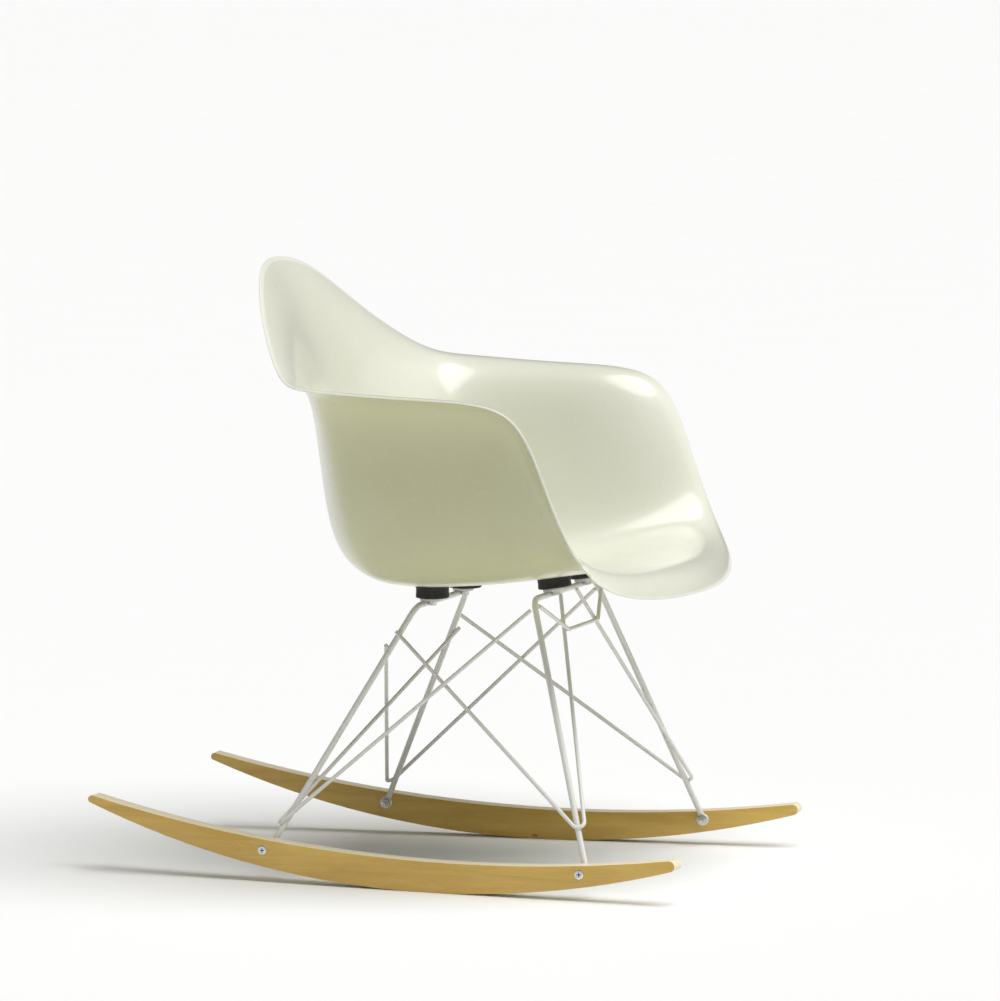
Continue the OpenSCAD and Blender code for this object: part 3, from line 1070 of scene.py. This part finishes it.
def washer_ring(name: str, hole: float, radius: float, height: float) -> bpy.types.Object:
    """Turn a punched washer with soft edges, its underside at the origin.

    Args:
        name: Name of the piece.
        hole: Radius of the hole.
        radius: Outer radius.
        height: Thickness.

    Returns:
        The washer.
    """
    edge = 0.22 * height
    profile = [
        (hole + edge, 0.0), (radius - edge, 0.0), (radius, edge), (radius, height - edge),
        (radius - edge, height), (hole + edge, height), (hole, height - edge), (hole, edge),
    ]
    return turned(name, profile, 48, closed=True)


@dataclass
class LegFrame:
    """One bent leg wire: a crossbar under the seat and two legs that end in flattened eyes."""

    node: str
    name: str
    bar_half: float
    wire: float = 7.5 * MM
    bend: float = 22 * MM
    eye_radius: float = 8 * MM
    eye_thickness: float = 4.5 * MM
    hole_radius: float = 3.25 * MM
    neck_width: float = 9.5 * MM
    neck_lap: float = 11 * MM
    splay: float = math.radians(Grain.LEFT_ROCKER.value)
    sides: int = 28
    bend_steps: int = 14

    def bar(self) -> Vector:
        """Middle of the crossbar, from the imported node's box."""
        low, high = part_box(self.node)
        runs_back = abs(high.y - self.foot_side()) < abs(low.y - self.foot_side())
        near = low.y + self.wire / 2 if runs_back else high.y - self.wire / 2
        return Vector((0, near, high.z - self.wire / 2))

    def foot_side(self) -> float:
        """The Y at which the legs end."""
        low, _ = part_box(self.node)
        vertices = NODES[self.node].data.vertices
        feet = [vertex.co.y for vertex in vertices if vertex.co.z < low.z + self.eye_radius]
        return sum(feet) / len(feet)

    def screw(self) -> Vector:
        """Middle of the left eye, on the rocker's inner face."""
        low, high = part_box(self.node)
        return Vector((high.x, self.foot_side(), low.z + self.eye_radius))

    def half(self) -> bpy.types.Object:
        """Bend the left half of the wire, from the middle of the crossbar to the eye.

        Returns:
            The left half, open in the middle.
        """
        bar, screw, radius = self.bar(), self.screw(), self.wire / 2
        face_in = Vector((-math.cos(self.splay), -math.sin(self.splay), 0))
        shoulder = bar + Vector((self.bar_half, 0, 0))
        lean = math.atan((screw.y - shoulder.y) / (shoulder.z - screw.z))
        up = Vector((0, -math.sin(lean), math.cos(lean)))
        foot = screw + face_in * (radius + 0.1 * MM) + up * self.neck_lap
        down = (foot - shoulder).normalized()
        along = Vector((1, 0, 0))
        turn = along.angle(down)
        setback = self.bend * math.tan(turn / 2)
        piece = start_ring(self.name, bar, along, radius, self.sides)
        pull(along * (self.bar_half - setback))
        axis = along.cross(down).normalized()
        start = shoulder - along * setback
        centre = start + axis.cross(along).normalized() * self.bend
        bend_round(centre, axis, turn, self.bend_steps)
        leg_start = shoulder + down * setback
        pull(foot - leg_start)
        self.flatten(foot, screw, face_in, up)
        leave_editing()
        return piece

    def flatten(self, foot: Vector, screw: Vector, face_in: Vector, up: Vector) -> None:
        """Forge the end of the wire flat, down to the eye.

        Args:
            foot: Where the round wire ends.
            screw: Middle of the eye, on the rocker's face.
            face_in: The way out of the rocker's face.
            up: The way up the leg, along the face.
        """
        thin = self.eye_thickness / self.wire
        wide = self.neck_width / self.wire
        goal = screw + face_in * (self.eye_thickness / 2 + 0.05 * MM) + up * (self.eye_radius * 0.72)
        here, flatness, width = foot, 1.0, 1.0
        steps = ((0.35, 0.86, 1.1), (0.72, thin * 1.08, wide), (1.0, thin * 0.93, wide))
        for share, squeeze, spread in steps:
            place = foot.lerp(goal, share)
            pull(place - here)
            swell((squeeze / flatness, spread / width, 1), place)
            here, flatness, width = place, squeeze, spread
        cap_ring()

    def eye(self) -> bpy.types.Object:
        """Make the left eye as a thick ring beside the rocker.

        Returns:
            The eye in its place.
        """
        piece = washer_ring(self.name + "_eye", self.hole_radius, self.eye_radius, self.eye_thickness)
        face_in = Vector((-math.cos(self.splay), -math.sin(self.splay), 0))
        pose = Matrix.Translation(self.screw()) @ face_in.to_track_quat("Z", "Y").to_matrix().to_4x4()
        piece.data.transform(pose)
        return piece

    def build(self) -> bpy.types.Object:
        """Make the left half and its mirror image, and join them.

        Returns:
            The finished frame.
        """
        left = self.half()
        eye = self.eye()
        flip = Matrix.Scale(-1, 4, Vector((1, 0, 0)))
        right = copied(left, "right_half", flip)
        right_eye = copied(eye, "right_eye", flip)
        piece = join_as([left, right, eye, right_eye], self.name)
        tidy_skin(piece)
        smooth(piece, 40)
        return piece

    def fit(self, coat: bpy.types.Material) -> None:
        """Build the frame, dress it and set it on the chair."""
        piece = self.build()
        dress(piece, coat)
        fit_piece(piece, "wire", self.node)


@dataclass
class Braces:
    """The hairpin braces and the front tie, with a weld at each crossing."""

    nodes: tuple[str, ...] = (
        "front_hairpin_left", "front_hairpin_right", "rear_hairpin_left", "rear_hairpin_right", "front_tie",
    )
    held_by: tuple[str, ...] = ("front_leg_frame", "rear_leg_frame")
    bead_length: float = 3.6 * MM
    bead_width: float = 2.3 * MM
    bead_lean_out: float = 0.3
    bead_lean_along: float = 0.2
    lump_depth: float = 0.06
    lump_waves: tuple[float, float] = (1900, 1300)

    def pairs(self) -> list[tuple[str, str]]:
        """Every brace with each leg frame, and the tie with the front hairpins."""
        found = [(brace, held) for brace in self.nodes for held in self.held_by]
        return found + [("front_tie", "front_hairpin_left"), ("front_tie", "front_hairpin_right")]

    def bead(self) -> bpy.types.Object:
        """Shape one weld bead at the origin, longer than wide and a little lumpy.

        Returns:
            The bead.
        """
        clear_selection()
        bpy.ops.mesh.primitive_uv_sphere_add(segments=16, ring_count=10, radius=self.bead_width)
        piece = bpy.context.object
        open_for_editing(piece)
        swell((1.0, 1.0, self.bead_length / self.bead_width), Vector())
        mesh = bmesh.from_edit_mesh(piece.data)
        along, across = self.lump_waves
        for vertex in mesh.verts:
            lump = math.sin(vertex.co.z * along) * math.cos(vertex.co.x * across)
            vertex.co *= 1 + self.lump_depth * lump
        bmesh.update_edit_mesh(piece.data)
        leave_editing()
        return piece

    def fit(self, coat: bpy.types.Material) -> None:
        """Dress the brace wires and weld them where they touch."""
        for node in self.nodes:
            dress_node(node, coat)
        bead = self.bead()
        welds = []
        for brace, held in self.pairs():
            run = middle(held) - middle(brace)
            for place in touching_places(brace, held):
                outwards = self.bead_lean_out * math.copysign(1, place.x)
                lengthways = self.bead_lean_along * math.copysign(1, run.y)
                lie = Vector((outwards, lengthways, 1)).to_track_quat("Z", "Y")
                pose = Matrix.Translation(place) @ lie.to_matrix().to_4x4()
                welds.append(copied(bead, "weld", pose))
        log.info("%d welds found", len(welds))
        bpy.data.objects.remove(bead)
        piece = join_as(welds, "weld_beads")
        smooth(piece, 60)
        dress(piece, coat)
        fit_piece(piece, "wire")


@dataclass
class Rocker:
    """One curved wooden runner with rounded edges."""

    side: Side
    edge_round: float = 3.0 * MM
    hole_reach: float = 9 * MM
    edge_steps: int = 4
    edge_lean: float = 0.8

    def build(self) -> bpy.types.Object:
        """Clean the runner's outline and round its long edges.

        Returns:
            The finished runner.
        """
        node = "rocker_" + self.side.word
        piece = traced(node, "runner_" + self.side.word)
        open_for_editing(piece)
        bpy.ops.mesh.dissolve_limited(angle_limit=math.radians(0.1))
        holes = self.screw_places()

        def long_edge(edge: bmesh.types.BMEdge) -> bool:
            """Tell whether an edge is a long corner of the wood, away from the screws."""
            spot = (edge.verts[0].co + edge.verts[1].co) / 2
            clear = all((Vector((spot.y, spot.z)) - hole).length > self.hole_reach for hole in holes)
            return clear and is_corner(edge, math.radians(50))

        if select_edges(piece, long_edge):
            bpy.ops.mesh.bevel(offset=self.edge_round, segments=self.edge_steps, profile=0.5,
                               clamp_overlap=True)
        leave_editing()
        smooth(piece, 30)
        return piece

    def mark_painted_highlight(self, piece: bpy.types.Object) -> None:
        """Give the top, the sole and the tips the second finish, whose pale colour is a painted highlight.

        Args:
            piece: The finished runner, already dressed in both finishes.
        """
        holes = self.screw_places()
        for face in piece.data.polygons:
            spot = Vector((face.center.y, face.center.z))
            in_hole = any((spot - hole).length < self.hole_reach for hole in holes)
            if abs(face.normal.x) < self.edge_lean and not in_hole:
                face.material_index = 1

    def screw_places(self) -> list[Vector]:
        """Where the screws pass, as (Y, Z) pairs, from the legs' eyes."""
        frames = (FRONT_LEGS, REAR_LEGS)
        return [Vector((legs.screw().y, legs.screw().z)) for legs in frames]

    def fit(self, wood: bpy.types.Material, edge: bpy.types.Material) -> None:
        """Build the runner, dress it and set it on the chair."""
        piece = self.build()
        # The second finish, on the top, sole and tips, is a painted highlight.
        dress(piece, wood, edge)
        self.mark_painted_highlight(piece)
        fit_piece(piece, "wood", "rocker_" + self.side.word)


@dataclass
class RockerFasteners:
    """The screws, washers and nuts that hold the legs to the rockers."""

    nodes: dict[str, tuple[str, float]] = field(default_factory=lambda: {
        "rocker_screws": ("cross_screws", 0.18 * MM),
        "rocker_washers": ("rocker_washer_set", 0.3 * MM),
        "rocker_nuts": ("hexagon_nuts", 0.35 * MM),
    })
    head_skin: float = 0.12 * MM
    recess_depth: float = 1.75 * MM
    recess_reach: float = 3.3 * MM
    screw_reach: float = 40 * MM

    def mark_recesses(self, piece: bpy.types.Object) -> None:
        """Give the inside of each driver recess the second finish, its painted shade.

        Args:
            piece: The screws, all four in one piece.
        """
        for legs in (FRONT_LEGS, REAR_LEGS):
            for side in Side:
                seat = legs.screw()
                seat.x *= side.value
                out = Vector((side.value * math.cos(legs.splay), math.sin(legs.splay), 0))
                near = [face for face in piece.data.polygons
                        if (face.center - seat).length < self.screw_reach]
                top = max((face.center - seat).dot(out) for face in near)
                for face in near:
                    reach = face.center - seat
                    depth = top - reach.dot(out)
                    off_axis = (reach - out * reach.dot(out)).length
                    if self.head_skin < depth < self.recess_depth and off_axis < self.recess_reach:
                        face.material_index = 1

    def fit(self, plated: bpy.types.Material, recess: bpy.types.Material) -> None:
        """Soften the corners of the fasteners, dress them and set them on the chair."""
        for node, (name, width) in self.nodes.items():
            piece = traced(node, name)
            soften_corners(piece, width, 2)
            smooth(piece)
            if node == "rocker_screws":
                # The second finish is painted shade inside the driver recesses.
                dress(piece, plated, recess)
                self.mark_recesses(piece)
            else:
                dress(piece, plated)
            fit_piece(piece, "zinc", node)


FRONT_LEGS = LegFrame("front_leg_frame", "front_leg_wire", 126 * MM)
REAR_LEGS = LegFrame("rear_leg_frame", "rear_leg_wire", 100 * MM)


# ---- the studio ----
@dataclass
class Studio:
    """A pale floor, soft light and the camera."""

    camera_place: tuple[float, float, float] = (-8.8549, -3.0705, 1.3838)
    camera_way: tuple[float, float, float] = (0.94281, 0.31881, -0.09730)
    lens: float = 264.2
    sensor: float = 36.0
    floor_size: float = 900.0
    sky: tuple[float, float, float] = (1.0, 1.0, 1.0)
    sky_strength: float = 0.13

    def fit_floor(self) -> None:
        """Lay the floor just under the rockers."""
        clear_selection()
        bpy.ops.mesh.primitive_plane_add(size=self.floor_size, location=(0, 0, -0.05 * MM))
        floor = bpy.context.object
        floor.name = "studio_floor"
        bpy.ops.object.transform_apply(location=True, rotation=True, scale=True)
        dress(floor, FloorFinish().mix())

    def fit_sky(self) -> None:
        """Light the room evenly."""
        world = bpy.data.worlds.new("studio")
        bpy.context.scene.world = world
        world.use_nodes = True
        background = world.node_tree.nodes["Background"]
        background.inputs["Color"].default_value = (*self.sky, 1.0)
        background.inputs["Strength"].default_value = self.sky_strength

    def fit_lamp(self, name: str, way: Vector, softness: float, power: float) -> None:
        """Hang one wide soft lamp far away, so that it lights the whole floor evenly.

        Args:
            name: Name of the lamp.
            way: The way its light travels.
            softness: Width of the lamp as the chair sees it, in degrees.
            power: Its power in watts per square metre.
        """
        data = bpy.data.lights.new(name, "SUN")
        data.angle = math.radians(softness)
        data.energy = power
        lamp = bpy.data.objects.new(name, data)
        lamp.rotation_euler = way.to_track_quat("-Z", "Y").to_euler()
        bpy.context.scene.collection.objects.link(lamp)

    def fit_camera(self) -> None:
        """Set up the camera."""
        data = bpy.data.cameras.new("camera")
        data.sensor_fit = "HORIZONTAL"
        data.sensor_width = self.sensor
        data.lens = self.lens
        data.clip_end = 100.0
        camera = bpy.data.objects.new("camera", data)
        camera.location = self.camera_place
        camera.rotation_euler = Vector(self.camera_way).to_track_quat("-Z", "Y").to_euler()
        bpy.context.scene.collection.objects.link(camera)
        bpy.context.scene.camera = camera

    def fit(self) -> None:
        """Set up the whole studio."""
        bpy.context.scene.view_settings.view_transform = "Standard"
        self.fit_floor()
        self.fit_sky()
        self.fit_lamp("overhead", Vector((0.12, 0.38, -1.0)), 55, 3.15)
        self.fit_lamp("front", Vector((-0.35, 0.9, -0.5)), 40, 0.35)
        self.fit_camera()


def main() -> None:
    """Build the chair, sub-assembly by sub-assembly."""
    logging.basicConfig(level=logging.INFO, format="%(name)s: %(message)s")
    coat = PowderCoatFinish().mix()
    zinc = PlatedFinish().mix()
    brass = PlatedFinish("brass", (0.62, 0.47, 0.22), (0.45, 0.34, 0.16)).mix()
    Studio().fit()
    # The shell's outside gets a darker, more yellow copy of the moulding's colour: painted shade, for the
    # side that the studio lamps light too brightly.
    painted_shade_outside = MouldedFinish("shell outside painted shade", (0.585, 0.585, 0.355), (0.56, 0.56, 0.33), (0.61, 0.61, 0.39))
    SeatShell().fit(MouldedFinish().mix(), TrimmedEdgeFinish().mix(), painted_shade_outside.mix())
    ShockMounts().fit(RubberFinish().mix(), coat, zinc, brass)
    FRONT_LEGS.fit(coat)
    REAR_LEGS.fit(coat)
    Braces().fit(coat)
    for side, grain in ((Side.LEFT, Grain.LEFT_ROCKER), (Side.RIGHT, Grain.RIGHT_ROCKER)):
        Rocker(side).fit(MapleFinish(grain).mix(), PaintedHighlightEdgeFinish(grain).mix())
    RockerFasteners().fit(zinc, RecessPaintedShadeFinish().mix())


if __name__ == "__main__":
    main()
